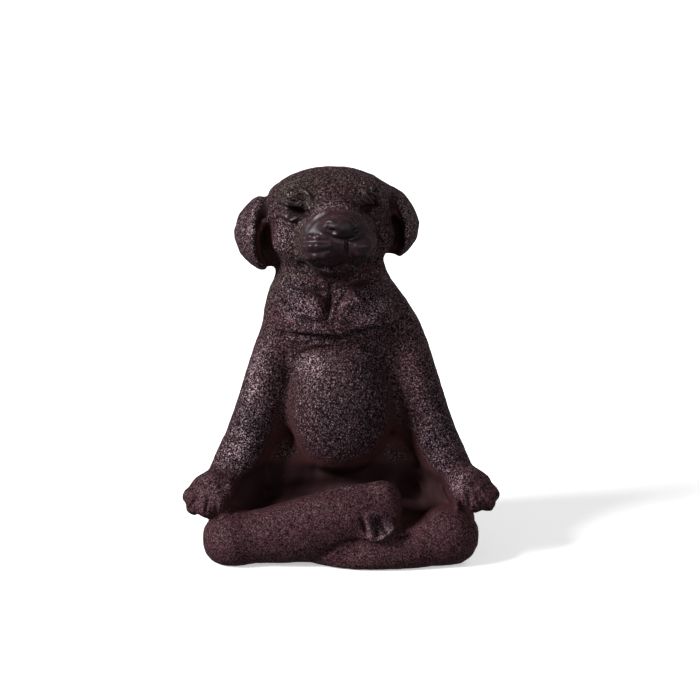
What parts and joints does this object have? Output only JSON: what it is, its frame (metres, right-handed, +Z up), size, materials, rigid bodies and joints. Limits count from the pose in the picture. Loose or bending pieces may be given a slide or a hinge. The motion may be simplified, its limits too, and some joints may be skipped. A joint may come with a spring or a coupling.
{
  "type": "dog figurine",
  "caption": "Cast-iron figurine of a puppy sitting cross-legged with closed eyes and its forepaws palm up on its knees, for a shelf or garden.",
  "frame": {"origin": "on the ground, in the middle of the footprint's bounding box", "axes": "+Z up from the ground to the crown, -Y the way the dog faces, +X the dog's own left"},
  "size_m": [0.1324, 0.0888, 0.1599],
  "materials": {
    "rust_brown_iron": "rough sand-cast iron, dark red-brown rust under worn black paint, smoother in the hollows"
  },
  "bodies": {
    "root": {"meditating_dog": "rust_brown_iron"}
  },
  "joints": []
}
